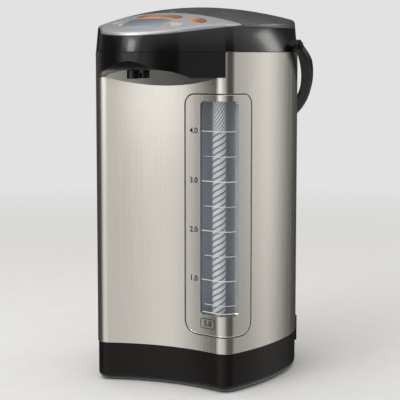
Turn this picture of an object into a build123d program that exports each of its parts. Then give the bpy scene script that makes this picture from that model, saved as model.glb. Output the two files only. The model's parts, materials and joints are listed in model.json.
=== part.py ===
from build123d import *
import math
import os

os.makedirs("parts", exist_ok=True)

# Electric thermo pot: a steel-bodied five-litre hot-water dispenser.
# Millimetres, +Z up. The front, with the spout nose, faces -Y, and +X is on the
# right hand of someone facing the front, where the water gauge wraps the corner.
# Everything is drawn about the container's axis, then moved as a whole so that
# the origin lies under the middle of the pot's outer box (see AXIS_Y at the end).

# Plan of the body: round rear half, long side arcs, hollow front face
BODY_R = 104.0  # rear half, centred on the container's axis
SIDE_R = 250.0  # side arcs, tangent to the rear half at y = 0
FACE_Y = -104.5  # deepest line of the hollow front face
FACE_R = 195.6  # radius of the hollow front face
CORNER_R = 14.0  # rounding of the two front corners

# Heights
FLOOR_Z = -2.6  # the table top that the feet stand on
PLATE_Z = FLOOR_Z + 1.0  # underside of the base plate, on its feet
BASE_TOP = 39.2  # joint between base and steel
STEEL_TOP = 351.0  # joint between steel and shoulder
RIM_Z = 376.0  # deck that the lid closes on
CROWN_Z = 400.3  # highest point of the lid

# Walls
STEEL_T = 1.2
PLASTIC_T = 2.8
BASE_INSET = 0.8
BASE_ROUND = 7.0

# Nose: a rounded beak in front of the face, straight flanks back to the corners
NOSE_TIP_Y = -190.5
NOSE_R = 52.0
FLANK_ANGLE = 60.5  # degrees that the tip arc turns on each side

# Domed top, one smooth surface over lid and control panel
DOME_R = 590.0  # front-to-back radius
DOME_Y = 2.0  # line of the crown
HEAD_DRAFT = 5.5  # degrees, shoulder and nose lean in towards the top
TOP_ROUND = 4.0
PANEL_EDGE_Z = 366.6  # lower edge of the control panel at the nose tip
PANEL_SLOPE = 0.12  # that edge rises towards the rear

# Lid
LID_FRONT_Y = -100.0  # split between control panel and lid, on the centre line
LID_FRONT_R = 480.0
LID_REAR_Y = 84.5
LID_GAP = 0.4
MOUTH_R = 88.0  # hole in the shoulder
PLUG_R = 84.0  # part of the lid that fills that hole
HINGE_Y = 91.0
HINGE_Z = 382.0
HINGE_PIN_R = 2.0
KNUCKLE_R = 5.5
RUNNING = 0.05  # radial clearance of turning fits
SEATED = 0.02  # radial ease of pins and screws that stay put

# Container
BORE_R = 78.5  # 51.5 mm of height holds one litre
LINER_T = 1.0
LINER_FLOOR = 61.0
LINER_RIM = 348.2
JACKET_R = 88.0

# Water gauge at the front right corner
BEZEL_X = 23.0  # left edge, on the front face
BEZEL_Y = -83.3  # right edge, on the side
BEZEL_Z = (55.8, 308.7)
WINDOW_X = 42.2
WINDOW_Y = -101.6
WINDOW_Z = (78.3, 300.7)
GROOVE = 1.2  # gap all round the bezel
TUBE_X = 60.5
TUBE_Y = -101.5
TUBE_R = 7.0

# Bail handle, an ellipse in its own plane, lying back against its stop
BAIL_DROP = 38.5  # degrees below level at rest
BAIL_Z = 358.0
BAIL_HALF = 120.5
BAIL_REACH = 159.5
BAIL_INNER_HALF = 107.6
BAIL_INNER_REACH = 149.0
BAIL_THICK = 10.5
BAIL_ROUND = 3.0
BAIL_PIN_R = 3.0
PIN_HEAD_R = 4.0
PIVOT_R = 6.4  # rounded end of each arm
PIVOT_FACE = 112.8  # outer face of each arm at the pivot
BOSS_R = 6.0
BOSS_FACE = 107.2

# Pump, under the container
PUMP_Y = -30.0
SHAFT_R = 1.5
NECK_R = 6.0
PORT_ANGLE = -49.8  # outlet stub, aimed at the gauge tube

# Nose underside, bay and nozzle
SMILE_HALF = 70.5
SMILE_Z = 317.0
SMILE_END_Z = 327.6
SOFFIT_Z = 332.6
SOFFIT_HALF = 67.5
SOFFIT_FOOT_Z = 322.0
SOFFIT_BENDS = ((20.0, 332.5), (38.0, 331.9), (51.0, 329.3), (62.0, 326.2))  # x, z
SOFFIT_T = 3.0
LIP_Z = 343.0
CHIN_BENDS = (  # y, z on the way from the lip to the cheeks
    (-188.0, 339.0),
    (-184.0, 335.0),
    (-178.0, 332.5),
    (-168.0, 330.2),
    (-160.0, 327.6),
    (-153.0, 325.4),
)
CHEEK_Y = -145.0
CHEEK_Z = 324.8
CHEEK_INSET = 2.6  # inner side of the walls left beside the tunnel
BAY_Z = 316.0
BAY_SLOPE = 0.8
NOZZLE_XY = (-5.5, -167.0)
NOZZLE_R = 6.2
NOZZLE_COLLAR = 2.5
NOZZLE_Z = 324.3
NOZZLE_TOP = 348.0
SPOUT_PIPE_Z = 343.5
PIPE_BORE_R = 2.8

# Control panel: name, centre x, centre y, half-width, half-depth
KEYS = (
    ("dispense_button", 45.0, -122.5, 9.5, 8.5),
    ("unlock_button", 3.0, -123.0, 25.0, 6.5),
    ("reboil_button", 34.8, -150.5, 7.0, 5.5),
    ("timer_button", -37.0, -137.0, 7.0, 5.5),
)
KEY_TRAVEL = 1.0
LCD_Y = (-167.0, -135.0)
LCD_FRONT_HALF = 20.0
LCD_REAR_HALF = 23.0

# Lid details
DECK_Z = 378.4
WELL_Z = 382.6
VENT_Y = 42.0
VENT_R = 14.0
DUCT_R = 6.0
LEVER_Y = -67.0
LEVER_Z = 393.1
LEVER_PIN_R = 1.2
LEVER_TIP_Y = -90.4
LEVER_KNUCKLE_R = 2.85

# Base
LEDGE_Z = FLOOR_Z + 4.6
CRADLE_R = 62.0
FOOT_SPOTS = ((55, -78), (-55, -78), (46, 48), (-46, 48))
FOOT_R = 9.0
FOOT_TOP = FLOOR_Z + 2.2
SCREW_R = 2.0
SCREW_HEAD_R = 3.4
SCREW_HEAD_Z = (FLOOR_Z + 1.4, FLOOR_Z + 2.8)
SCREW_SPOTS = ((0, -84), (80.5, -35), (-80.5, -35), (59, 59), (-59, 59))
BOARD_HALF = 40.0
BOARD_Y = (19.0, 67.0)
BOARD_Z = 11.0
RIBBON_Z = 16.5
HARNESS_X = (-40.0, -26.0)
HARNESS_Y = -97.5
HARNESS_UP_Y = -118.0
GAUGE_TOP = 318.0
PLUG_ANGLE = 42.0
PLUG_HALF = 18.0
PLUG_Z = (19.0, 48.5)
PLUG_FACE_R = 107.5


def plan(inset=0.0, corner_r=CORNER_R):
    """Plan of the body, moved inwards, with its own corner rounding."""
    face_centre = FACE_Y - FACE_R
    side_centre = BODY_R - SIDE_R
    reach_side = SIDE_R - inset
    reach_face = FACE_R + inset
    # corner where the side arc meets the face arc
    dx = side_centre
    dy = -face_centre
    span = math.hypot(dx, dy)
    along = (reach_face**2 - reach_side**2 + span**2) / (2 * span)
    off = math.sqrt(reach_face**2 - along**2)
    corner_x = along * dx / span + off * dy / span
    corner_y = face_centre + along * dy / span - off * dx / span
    mid_y = corner_y / 2
    mid_x = side_centre + math.sqrt(reach_side**2 - mid_y**2)
    rear = BODY_R - inset
    lines = [
        ThreePointArc((rear, 0), (0, rear), (-rear, 0)),
        ThreePointArc((-rear, 0), (-mid_x, mid_y), (-corner_x, corner_y)),
        ThreePointArc((-corner_x, corner_y), (0, FACE_Y + inset), (corner_x, corner_y)),
        ThreePointArc((corner_x, corner_y), (mid_x, mid_y), (rear, 0)),
    ]
    face = make_face(lines)
    corners = face.vertices().filter_by(lambda v: v.Y < corner_y + 1)
    return fillet(corners, corner_r)


def nose_plan(inset=0.0, rear_y=-96.0):
    """Plan of the beak, run back into the body."""
    turn = math.radians(FLANK_ANGLE)
    r = NOSE_R - inset
    cy = NOSE_TIP_Y + NOSE_R
    ex = r * math.sin(turn)
    ey = cy - r * math.cos(turn)
    rear_x = ex + (rear_y - ey) / math.tan(turn)
    lines = [
        ThreePointArc((-ex, ey), (0, cy - r), (ex, ey)),
        Line((ex, ey), (rear_x, rear_y)),
        Line((rear_x, rear_y), (-rear_x, rear_y)),
        Line((-rear_x, rear_y), (-ex, ey)),
    ]
    return make_face(lines)


def head_plan(inset=0.0):
    """Plan of shoulder and nose together, with a soft crease where they meet."""
    both = plan(inset) + nose_plan(inset)
    creases = both.vertices().filter_by(lambda v: -122 < v.Y < -100 and abs(v.X) > 62)
    inner = [v for v in creases if abs(v.X) < 75]
    return both, inner


def prism(sketch, z0, z1):
    return Pos(0, 0, z0) * extrude(sketch, amount=z1 - z0)


def cyl(x, y, r, z0, z1):
    return Pos(x, y, z0) * Cylinder(r, z1 - z0, align=(Align.CENTER, Align.CENTER, Align.MIN))


def cyl_x(x0, x1, y, z, r):
    bar = Cylinder(r, x1 - x0, align=(Align.CENTER, Align.CENTER, Align.MIN))
    return Pos(x0, y, z) * Rot(0, 90, 0) * bar


def block(x0, x1, y0, y1, z0, z1):
    return Pos(x0, y0, z0) * Box(x1 - x0, y1 - y0, z1 - z0, align=(Align.MIN,) * 3)


def side_profile(points, x0, x1):
    """Prism across the pot from a (y, z) outline."""
    face = make_face(Polyline(*points, close=True))
    return Pos(x0, 0, 0) * extrude(Plane.YZ * face, amount=x1 - x0)


def front_profile(face, y0, y1):
    """Prism from front to back of an (x, z) face."""
    return Pos(0, y1, 0) * extrude(Plane.XZ * face, amount=y1 - y0)


def dome_z(x, y):
    """Height of the domed top: it bends more across the nose than across the lid."""
    across = 0.0020 - (y + 94.0) * 0.0000033
    return CROWN_Z - (y - DOME_Y) ** 2 / (2 * DOME_R) - across * x**2


def above_dome(drop=0.0):
    """Everything above the domed top, lowered by drop."""
    xs = [-130 + 26 * i for i in range(11)]
    ys = [-210 + 27 * j for j in range(13)]
    rows = [[Vector(x, y, dome_z(x, y) - drop) for x in xs] for y in ys]
    skin = Face.make_surface_from_array_of_points(rows, tol=0.01, min_deg=3, max_deg=5)
    return extrude(skin, amount=90, dir=(0, 0, 1))


def panel_floor(y):
    return PANEL_EDGE_Z + PANEL_SLOPE * (y - NOSE_TIP_Y)


def below_panel_floor(drop=0.0):
    """Everything under the sloping seat of the control panel."""
    front, back = -220.0, 130.0
    return side_profile(
        [
            (front, 250),
            (back, 250),
            (back, panel_floor(back) - drop),
            (front, panel_floor(front) - drop),
        ],
        -140,
        140,
    )


def lid_zone(gap):
    """Column behind the curved split between panel and lid."""
    reach = 125.0
    sag = LID_FRONT_R - math.sqrt(LID_FRONT_R**2 - reach**2)
    y_mid = LID_FRONT_Y + gap
    lines = [
        ThreePointArc((-reach, y_mid + sag), (0, y_mid), (reach, y_mid + sag)),
        Line((reach, y_mid + sag), (reach, 140)),
        Line((reach, 140), (-reach, 140)),
        Line((-reach, 140), (-reach, y_mid + sag)),
    ]
    return prism(make_face(lines), 340, 430)


def head_form():
    """Outer form of shoulder, nose, panel and lid in one piece."""
    both, creases = head_plan(0.3)
    both = fillet(creases, 6.0)
    column = Pos(0, 0, STEEL_TOP) * extrude(both, amount=60, taper=HEAD_DRAFT)
    form = column - above_dome()
    top = form.faces().sort_by(Axis.Z)[-1]
    return fillet(top.outer_wire().edges(), TOP_ROUND)


def smile_opening():
    """Low curved opening in the steel under the nose."""
    lines = [
        ThreePointArc((-SMILE_HALF, SMILE_END_Z), (0, SMILE_Z), (SMILE_HALF, SMILE_END_Z)),
        Line((SMILE_HALF, SMILE_END_Z), (SMILE_HALF, STEEL_TOP + 5)),
        Line((SMILE_HALF, STEEL_TOP + 5), (-SMILE_HALF, STEEL_TOP + 5)),
        Line((-SMILE_HALF, STEEL_TOP + 5), (-SMILE_HALF, SMILE_END_Z)),
    ]
    face = make_face(lines)
    face = fillet(face.vertices().filter_by(lambda v: v.Y < SMILE_END_Z + 1), 7.0)
    return front_profile(face, -130, -95)


def gauge_column(left, right, heights, round_top, round_bottom, grow=0.0):
    """Rounded window shape wrapped round the corner: a front view and a side view in one."""
    z0 = heights[0] - grow
    z1 = heights[1] + grow
    far = 130.0
    front = make_face(
        Polyline((left - grow, z0), (far, z0), (far, z1), (left - grow, z1), close=True)
    )
    side = make_face(
        Polyline((-far, z0), (right + grow, z0), (right + grow, z1), (-far, z1), close=True)
    )
    for z, r in ((z0, round_bottom), (z1, round_top)):
        front = fillet(
            front.vertices().filter_by(lambda v: v.X < far - 1 and abs(v.Y - z) < 0.1), r + grow
        )
        side = fillet(
            side.vertices().filter_by(lambda v: v.X > -far + 1 and abs(v.Y - z) < 0.1), r + grow
        )
    across = Pos(far, 0, 0) * extrude(Plane.YZ * side, amount=-far)
    return front_profile(front, -far, -60) & across


def bezel_column(grow=0.0):
    return gauge_column(BEZEL_X, BEZEL_Y, BEZEL_Z, 12.0, 15.0, grow)


def window_column(grow=0.0):
    return gauge_column(WINDOW_X, WINDOW_Y, WINDOW_Z, 4.0, 4.0, grow)


def skin(outer_inset, inner_inset, z0, z1):
    """Upright wall that follows the body's plan."""
    outer = prism(plan(outer_inset, CORNER_R - outer_inset), z0, z1)
    return outer - prism(plan(inner_inset, CORNER_R - inner_inset), z0 - 1, z1 + 1)


def receptacle_space(inner_r, outer_r, half, z0, z1):
    """Block set square to the body at the plug receptacle."""
    return Rot(0, 0, PLUG_ANGLE) * block(inner_r, outer_r, -half, half, z0, z1)


def body_shell():
    shell = skin(0, STEEL_T, BASE_TOP, STEEL_TOP)
    shell -= smile_opening()
    shell -= bezel_column()
    return shell - receptacle_space(90, 112, PLUG_HALF, *PLUG_Z)


def base_form():
    """Outer form of the base: rounded under, upright above."""
    sections = []
    for angle in (12, 30, 48, 66, 90):
        turn = math.radians(angle)
        inset = BASE_INSET + BASE_ROUND * (1 - math.sin(turn))
        z = PLATE_Z + BASE_ROUND * (1 - math.cos(turn))
        corner = CORNER_R - BASE_INSET - 0.45 * (inset - BASE_INSET)
        sections.append(Pos(0, 0, z) * plan(inset, corner))
    lower = loft(sections)
    upper = prism(plan(BASE_INSET, CORNER_R - BASE_INSET), PLATE_Z + BASE_ROUND, BASE_TOP)
    return lower + upper


def base_housing():
    base = base_form()
    inner = BASE_INSET + PLASTIC_T
    base -= prism(plan(17, 4), FLOOR_Z, LEDGE_Z)
    base -= prism(plan(24, 4), FLOOR_Z, LEDGE_Z + 3)
    base -= prism(plan(5, CORNER_R - 5), LEDGE_Z + 2, PLATE_Z + BASE_ROUND)
    base -= prism(plan(inner, CORNER_R - inner), PLATE_Z + BASE_ROUND - 0.5, BASE_TOP - 3)
    base -= cyl(0, 0, CRADLE_R, BASE_TOP - 5, BASE_TOP + 5)
    base += cyl(0, 0, CRADLE_R + 4, BASE_TOP - 3, LINER_FLOOR - LINER_T) - cyl(
        0, 0, CRADLE_R, 0, 100
    )
    base -= cyl(TUBE_X, TUBE_Y, TUBE_R + 0.5, 30, 50)
    base -= block(HARNESS_X[0] - 1, HARNESS_X[1] + 1, HARNESS_Y - 2, HARNESS_Y + 2, 30, 45)
    base -= receptacle_space(90, 112, PLUG_HALF, *PLUG_Z)
    for x, y in SCREW_SPOTS:
        base -= cyl(x, y, SCREW_R, FLOOR_Z, LEDGE_Z + 8)
    return base


def base_plate():
    plate = prism(plan(17.2, 4), PLATE_Z, LEDGE_Z)
    for i in range(9):
        plate -= block(-36 + 9 * i - 1.5, -36 + 9 * i + 1.5, 5, 40, FLOOR_Z, 10)
    for x, y in SCREW_SPOTS:
        plate -= cyl(x, y, SCREW_R, FLOOR_Z, 10)
        plate -= cyl(x, y, SCREW_HEAD_R + 0.4, FLOOR_Z, SCREW_HEAD_Z[1])
    for x, y in FOOT_SPOTS:
        plate -= cyl(x, y, FOOT_R + SEATED, FLOOR_Z, FOOT_TOP)
    for x in (-BOARD_HALF + 6, BOARD_HALF - 6):
        for y in (BOARD_Y[0] + 5, BOARD_Y[1] - 5):
            plate += cyl(x, y, 3.0, LEDGE_Z - 0.5, BOARD_Z)
    return plate


def rubber_feet():
    pads = []
    for x, y in FOOT_SPOTS:
        pad = cyl(x, y, FOOT_R, FLOOR_Z, FOOT_TOP)
        pads.append(chamfer(pad.edges().group_by(Axis.Z)[0], 0.5))
    return Compound(children=pads)


def base_screws():
    screws = []
    z0, z1 = SCREW_HEAD_Z
    for x, y in SCREW_SPOTS:
        head = cyl(x, y, SCREW_HEAD_R, z0, z1)
        head -= block(x - 2.4, x + 2.4, y - 0.5, y + 0.5, FLOOR_Z, z0 + 0.7)
        head -= block(x - 0.5, x + 0.5, y - 2.4, y + 2.4, FLOOR_Z, z0 + 0.7)
        screws.append(head + cyl(x, y, SCREW_R - SEATED, z1 - 0.2, LEDGE_Z + 3))
    return Compound(children=screws)


def shoulder_housing(head):
    lid_side = lid_zone(0.0)
    body = head - (lid_side & block(-140, 140, -220, 140, RIM_Z, 430))
    above_floor = block(-140, 140, -220, 140, 340, 430) - below_panel_floor()
    body -= above_floor - lid_side
    hollow = Pos(0, 0, STEEL_TOP - 1) * extrude(
        plan(3.4, CORNER_R - 3.4) + nose_plan(3.4), amount=RIM_Z - 3.5 - STEEL_TOP + 1, taper=HEAD_DRAFT
    )
    hollow &= below_panel_floor(3.0)
    hollow -= cyl(0, 0, MOUTH_R + 3, 300, 430)
    body -= hollow
    body -= cyl(0, 0, MOUTH_R, 300, 430)
    body -= block(-6.5, 6.5, -97.8, -89.6, 360, 385)
    body -= block(HARNESS_X[0] - 1, HARNESS_X[1] + 1, HARNESS_UP_Y - 2, HARNESS_UP_Y + 2, 350, 400)
    for side in (-1, 1):
        inner, outer = sorted((side * 99.0, side * BOSS_FACE))
        body += cyl_x(inner, outer, 0, BAIL_Z, BOSS_R)
        inner, outer = sorted((side * 90.0, side * 120.0))
        body -= cyl_x(inner, outer, 0, BAIL_Z, BAIL_PIN_R)
    for x0, x1 in ((-29, -22.4), (-12.6, 12.6), (22.4, 29)):
        lug = cyl_x(x0, x1, HINGE_Y, HINGE_Z, KNUCKLE_R)
        lug += block(x0, x1, MOUTH_R + 0.5, HINGE_Y + KNUCKLE_R - 0.5, RIM_Z - 2, HINGE_Z)
        body += lug
    return body - cyl_x(-35, 35, HINGE_Y, HINGE_Z, HINGE_PIN_R)


def arch_column(lift=0.0):
    """Tunnel under the nose: a broad flat soffit that falls towards the cheeks."""
    foot = (SOFFIT_HALF, SOFFIT_FOOT_Z + lift)
    right = [(x, z + lift) for x, z in SOFFIT_BENDS] + [foot]
    left = [(-x, z) for x, z in reversed(right)]
    lines = [
        Spline(*left, (0, SOFFIT_Z + lift), *right),
        Line(foot, (SOFFIT_HALF, 300)),
        Line((SOFFIT_HALF, 300), (-SOFFIT_HALF, 300)),
        Line((-SOFFIT_HALF, 300), left[0]),
    ]
    return front_profile(make_face(lines), -210, -90)


def nose_recess():
    """The tunnel, kept inside the walls of the nose."""
    return arch_column() & prism(nose_plan(CHEEK_INSET), 300, 345)


def under_nose(lift=0.0):
    """Space below the nose: high at the lip, low at the cheeks."""
    lip = (NOSE_TIP_Y, LIP_Z + lift)
    cheek = (CHEEK_Y, CHEEK_Z + lift)
    bends = [(y, z + lift) for y, z in CHIN_BENDS]
    lines = [
        Line((-205, 290), (-205, LIP_Z + lift)),
        Line((-205, LIP_Z + lift), lip),
        Spline(lip, *bends, cheek, tangents=((0.45, -1), (1, 0))),
        Line(cheek, (-95, CHEEK_Z + lift)),
        Line((-95, CHEEK_Z + lift), (-95, 290)),
        Line((-95, 290), (-205, 290)),
    ]
    return Pos(-90, 0, 0) * extrude(Plane.YZ * make_face(lines), amount=180)


def spout_cover():
    outline = nose_plan(0.6) - plan(0.0)
    cover = prism(outline, 318, STEEL_TOP)
    cover -= under_nose()
    cover -= nose_recess()
    hollow = prism(nose_plan(3.4), 320, STEEL_TOP + 1)
    hollow -= under_nose(SOFFIT_T)
    hollow -= arch_column(SOFFIT_T)
    cover -= hollow
    cover -= cyl(*NOZZLE_XY, NOZZLE_R + SEATED, 300, 360)
    return cover - cyl(*NOZZLE_XY, NOZZLE_R + NOZZLE_COLLAR + SEATED, SOFFIT_Z + SOFFIT_T, 360)


def spout_bay():
    """Steel-coloured slope that joins the hollow face to the nose's underside."""
    reach = (SOFFIT_Z - BAY_Z) / BAY_SLOPE
    wedge = side_profile(
        [
            (FACE_Y - reach, SOFFIT_Z),
            (FACE_Y + 6, BAY_Z - 6 * BAY_SLOPE),
            (FACE_Y + 6, SOFFIT_Z),
        ],
        -SOFFIT_HALF,
        SOFFIT_HALF,
    )
    return (wedge & nose_recess()) - prism(plan(0.0), 280, 360)


def nozzle():
    x, y = NOZZLE_XY
    collar_z = SOFFIT_Z + SOFFIT_T
    spout = cyl(x, y, NOZZLE_R, NOZZLE_Z, NOZZLE_TOP)
    spout += cyl(x, y, NOZZLE_R + NOZZLE_COLLAR, collar_z, collar_z + 2)
    spout -= cyl(x, y, NOZZLE_R - 2.2, NOZZLE_Z - 1, NOZZLE_TOP - 3)
    turn = math.degrees(math.atan2(TUBE_Y - y, TUBE_X - x))
    spout -= Pos(x, y, SPOUT_PIPE_Z) * Rot(0, 0, turn) * cyl_x(0, NOZZLE_R + 1, 0, 0, PIPE_BORE_R)
    guard_x = x + 11.6
    guard_top = SOFFIT_Z - 0.1
    guard = cyl(guard_x, y, NOZZLE_R, NOZZLE_Z + 0.6, guard_top)
    guard -= cyl(guard_x, y, 4.2, 300, guard_top - 2)
    guard -= block(guard_x - 1.2, guard_x + 1.2, y - 12, y, NOZZLE_Z - 1, NOZZLE_Z + 6)
    return spout + guard


def control_panel(head):
    panel = head - lid_zone(-0.8)
    panel -= below_panel_floor()
    hollow = prism(nose_plan(7.0, -108.0), 350, 410) - above_dome(2.6)
    panel -= hollow
    panel -= prism(lcd_plan(), 350, 420) & above_dome(1.6)
    for _, x, y, half_x, half_y in KEYS:
        panel -= prism(key_plan(x, y, half_x + 0.3, half_y + 0.3), 350, 420)
    return panel


def lcd_plan():
    face = make_face(
        Polyline(
            (-LCD_FRONT_HALF, LCD_Y[0]),
            (LCD_FRONT_HALF, LCD_Y[0]),
            (LCD_REAR_HALF, LCD_Y[1]),
            (-LCD_REAR_HALF, LCD_Y[1]),
            close=True,
        )
    )
    return fillet(face.vertices(), 5.0)


def lcd_window():
    return (prism(lcd_plan(), 350, 420) & above_dome(1.6)) - above_dome(-0.2)


def key_plan(x, y, half_x, half_y):
    """Long oval key with round ends, or an ellipse when it is nearly round."""
    if half_x > 2 * half_y:
        return Pos(x, y) * SlotOverall(2 * half_x, 2 * half_y)
    return Pos(x, y) * Ellipse(half_x, half_y)


def key(x, y, half_x, half_y):
    cap = (prism(key_plan(x, y, half_x, half_y), 350, 420) & above_dome(1.4)) - above_dome(-0.6)
    foot = switch_top(y) + KEY_TRAVEL + 0.2
    return cap + cyl(x, y, 2.0, foot, dome_z(x, y) - 0.5)


def switch_top(y):
    return panel_floor(y) + 2.2


def control_board():
    board = prism(nose_plan(11.0, -109.0), 350, 420) - below_panel_floor()
    board &= below_panel_floor(-1.2)
    for _, x, y, _, _ in KEYS:
        board += block(x - 2.5, x + 2.5, y - 2.5, y + 2.5, panel_floor(y) + 0.6, switch_top(y))
    display = prism(Pos(0, sum(LCD_Y) / 2) * Rectangle(34, 20), 350, 420) & below_panel_floor(-3.4)
    board += display - below_panel_floor(-0.6)
    return board - above_dome(3.2)


def lid_cover(head):
    lid = head & lid_zone(LID_GAP)
    lid &= block(-140, 140, -140, LID_REAR_Y, RIM_Z + LID_GAP, 430)
    hollow = lid_hollow(7.0, 0.0)
    hollow -= above_dome(3.0)
    hollow -= block(-20.5, 20.5, -110, -59, WELL_Z, 430)
    lid -= hollow
    well = block(-17.5, 17.5, -96.8, LEVER_Y + LEVER_KNUCKLE_R + 0.4, 340, 430) & above_dome(6.6)
    lid -= well
    lid -= cyl(0, VENT_Y, VENT_R, 380, 430)
    for side in (-1, 1):
        x0, x1 = sorted((side * 13.0, side * 22.0))
        lid += cyl_x(x0, x1, HINGE_Y, HINGE_Z, KNUCKLE_R)
        lid += block(x0, x1, LID_REAR_Y - 3, HINGE_Y, HINGE_Z - 3, HINGE_Z + KNUCKLE_R)
    lid -= cyl_x(-35, 35, HINGE_Y, HINGE_Z, HINGE_PIN_R + RUNNING)
    return lid - cyl_x(-20.5, 20.5, LEVER_Y, LEVER_Z, LEVER_PIN_R)


def lid_hollow(inset, fit):
    """Inside of the lid between its rim walls."""
    space = prism(plan(inset + fit, 4), RIM_Z + LID_GAP, 420) & lid_zone(4.0 + fit)
    return space & block(-140, 140, -140, LID_REAR_Y - 3 - fit, 340, 430)


def lid_base():
    base = lid_hollow(7.0, 0.1) & block(-140, 140, -140, 140, 340, DECK_Z)
    base -= above_dome(3.1)
    base += cyl(0, 0, PLUG_R, 353, RIM_Z + LID_GAP)
    base -= cyl(0, 0, PLUG_R - 2.2, 355, RIM_Z - 1)
    base -= cyl(0, VENT_Y, DUCT_R, 340, 400)
    return base - block(-5.5, 5.5, -97.5, -89.8, 370, 390)


def lid_inner_plate():
    plate = cyl(0, 0, 78.0, 351.8, 353.0)
    plate = chamfer(plate.edges().group_by(Axis.Z)[0], 0.5)
    for i in range(8):
        turn = math.radians(45 * i)
        plate -= cyl(9 * math.cos(turn), VENT_Y + 9 * math.sin(turn), 1.5, 340, 360)
    return plate - cyl(0, VENT_Y, DUCT_R - 1.5, 340, 360)


def lid_seal():
    ring = cyl(0, 0, 83.0, 348.6, 353.0) - cyl(0, 0, 79.5, 340, 360)
    return chamfer(ring.edges().group_by(Axis.Z)[0], 1.0)


def steam_duct():
    x, y = 0, VENT_Y
    top = dome_z(0, VENT_Y + VENT_R) - 3.6
    return cyl(x, y, DUCT_R, 353, top) - cyl(x, y, DUCT_R - 1.5, 340, 420)


def steam_vent_cap():
    cap = (cyl(0, VENT_Y, VENT_R, 350, 420) & above_dome(3.0)) - above_dome(0.0)
    for i in range(5):
        x = -8 + 4 * i
        half = 9.0 if i == 2 else 7.5 if i in (1, 3) else 5.0
        cap -= block(x - 0.9, x + 0.9, VENT_Y - half, VENT_Y + half, 380, 420)
    return cap


def lid_lever():
    lever = (block(-17, 17, LEVER_TIP_Y, LEVER_Y, 350, 420) & above_dome(5.0)) - above_dome(0.2)
    lever += cyl_x(-17, 17, LEVER_Y, LEVER_Z, LEVER_KNUCKLE_R)
    scoop = Pos(0, LEVER_TIP_Y, dome_z(0, LEVER_TIP_Y) + 5.5) * Sphere(9.0)
    lever -= scoop
    return lever - cyl_x(-20, 20, LEVER_Y, LEVER_Z, LEVER_PIN_R + RUNNING)


def lever_pin():
    return cyl_x(-20, 20, LEVER_Y, LEVER_Z, LEVER_PIN_R - SEATED)


def lid_latch():
    latch = block(-8, 8, -95.6, -91.0, DECK_Z + 0.1, DECK_Z + 3.6)
    return latch + block(-5, 5, -95.6, -93.2, 371, DECK_Z + 0.2)


def hinge_pin():
    return cyl_x(-29, 29, HINGE_Y, HINGE_Z, HINGE_PIN_R - SEATED)


def container_liner():
    outer = cyl(0, 0, BORE_R + LINER_T, LINER_FLOOR - LINER_T, LINER_RIM)
    outer = fillet(outer.edges().group_by(Axis.Z)[0], 9.0)
    inner = cyl(0, 0, BORE_R, LINER_FLOOR, LINER_RIM + 1)
    inner = fillet(inner.edges().group_by(Axis.Z)[0], 8.0)
    flange = cyl(0, 0, 94.0, LINER_RIM - LINER_T, LINER_RIM)
    liner = outer + flange - inner
    return liner - cyl(0, PUMP_Y, NECK_R, 40, 80)


def vacuum_jacket():
    wall = cyl(0, 0, JACKET_R, 72, LINER_RIM - LINER_T) - cyl(
        0, 0, JACKET_R - LINER_T, 73, LINER_RIM
    )
    return wall - cyl(0, 0, BORE_R + LINER_T, 60, 80)


def neck_ring():
    ring = cyl(0, 0, 94.0, LINER_RIM, STEEL_TOP) - cyl(0, 0, 84.0, 340, 360)
    return ring


def heater_plate():
    plate = cyl(0, 0, 55.0, 56.5, LINER_FLOOR - LINER_T)
    plate -= cyl(0, PUMP_Y, NECK_R + 2, 40, 80)
    return plate - cyl(0, 0, 8.0, 40, 80)


def temperature_sensor():
    return cyl(0, 0, 6.0, 52, LINER_FLOOR - LINER_T) + cyl(0, 0, 3.0, 48, 53)


def thermal_fuse():
    return block(24, 40, 26, 33, 53.0, 56.5) + block(28, 36, 24, 35, 55.5, 56.5)


def pump_housing():
    y = PUMP_Y
    body = cyl(0, y, 20.0, 25.0, 36.0) - cyl(0, y, 16.0, 26.5, 34.5)
    body += cyl(0, y, NECK_R, 35.0, LINER_FLOOR)
    body += cyl(0, y, SHAFT_R, 26.0, 33.8)
    body -= cyl(0, y, NECK_R - 1.6, 34.0, 70)
    port = Pos(0, y, 30.5) * Rot(0, 0, PORT_ANGLE) * Rot(0, 90, 0)
    up = (Align.CENTER, Align.CENTER, Align.MIN)
    stub = Pos(0, 0, 15) * Cylinder(4.5, 13, align=up)
    bore = Pos(0, 0, 12) * Cylinder(2.8, 20, align=up)
    body += port * stub - cyl(0, y, 15.9, 20, 40)
    return body - port * bore


def impeller():
    y = PUMP_Y
    wheel = cyl(0, y, 14.0, 27.2, 28.8) + cyl(0, y, 4.0, 27.2, 33.0)
    for i in range(6):
        blade = Rot(0, 0, 60 * i) * (Pos(3, -1, 0) * Rot(0, 0, -25) * block(0, 10.5, -0.7, 0.7, 28.5, 33))
        wheel += Pos(0, y, 0) * blade
    return wheel - cyl(0, y, SHAFT_R + RUNNING, 20, 40)


def pump_bracket():
    y = PUMP_Y
    ring = cyl(0, y, 22.5, LEDGE_Z, 29.0) - cyl(0, y, 18.0, 0, 40)
    ring -= cyl(0, y, 20.0, 25.0, 40)
    for turn in (30, 150, 270):
        ring -= Pos(0, y, 0) * Rot(0, 0, turn) * block(10, 30, -7, 7, 9, 20)
    notch = Pos(0, y, 0) * Rot(0, 0, PORT_ANGLE) * block(10, 30, -5, 5, 25.0, 40)
    return ring - notch


def motor():
    y = PUMP_Y
    can = cyl(0, y, 15.0, LEDGE_Z, 22.0)
    can = fillet(can.edges().group_by(Axis.Z)[-1], 1.5)
    return can - cyl(0, y, SHAFT_R + RUNNING, 14.0, 30)


def motor_rotor():
    y = PUMP_Y
    return cyl(0, y, SHAFT_R, 14.4, 24.4) + cyl(0, y, 12.0, 22.6, 24.4)


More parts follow.
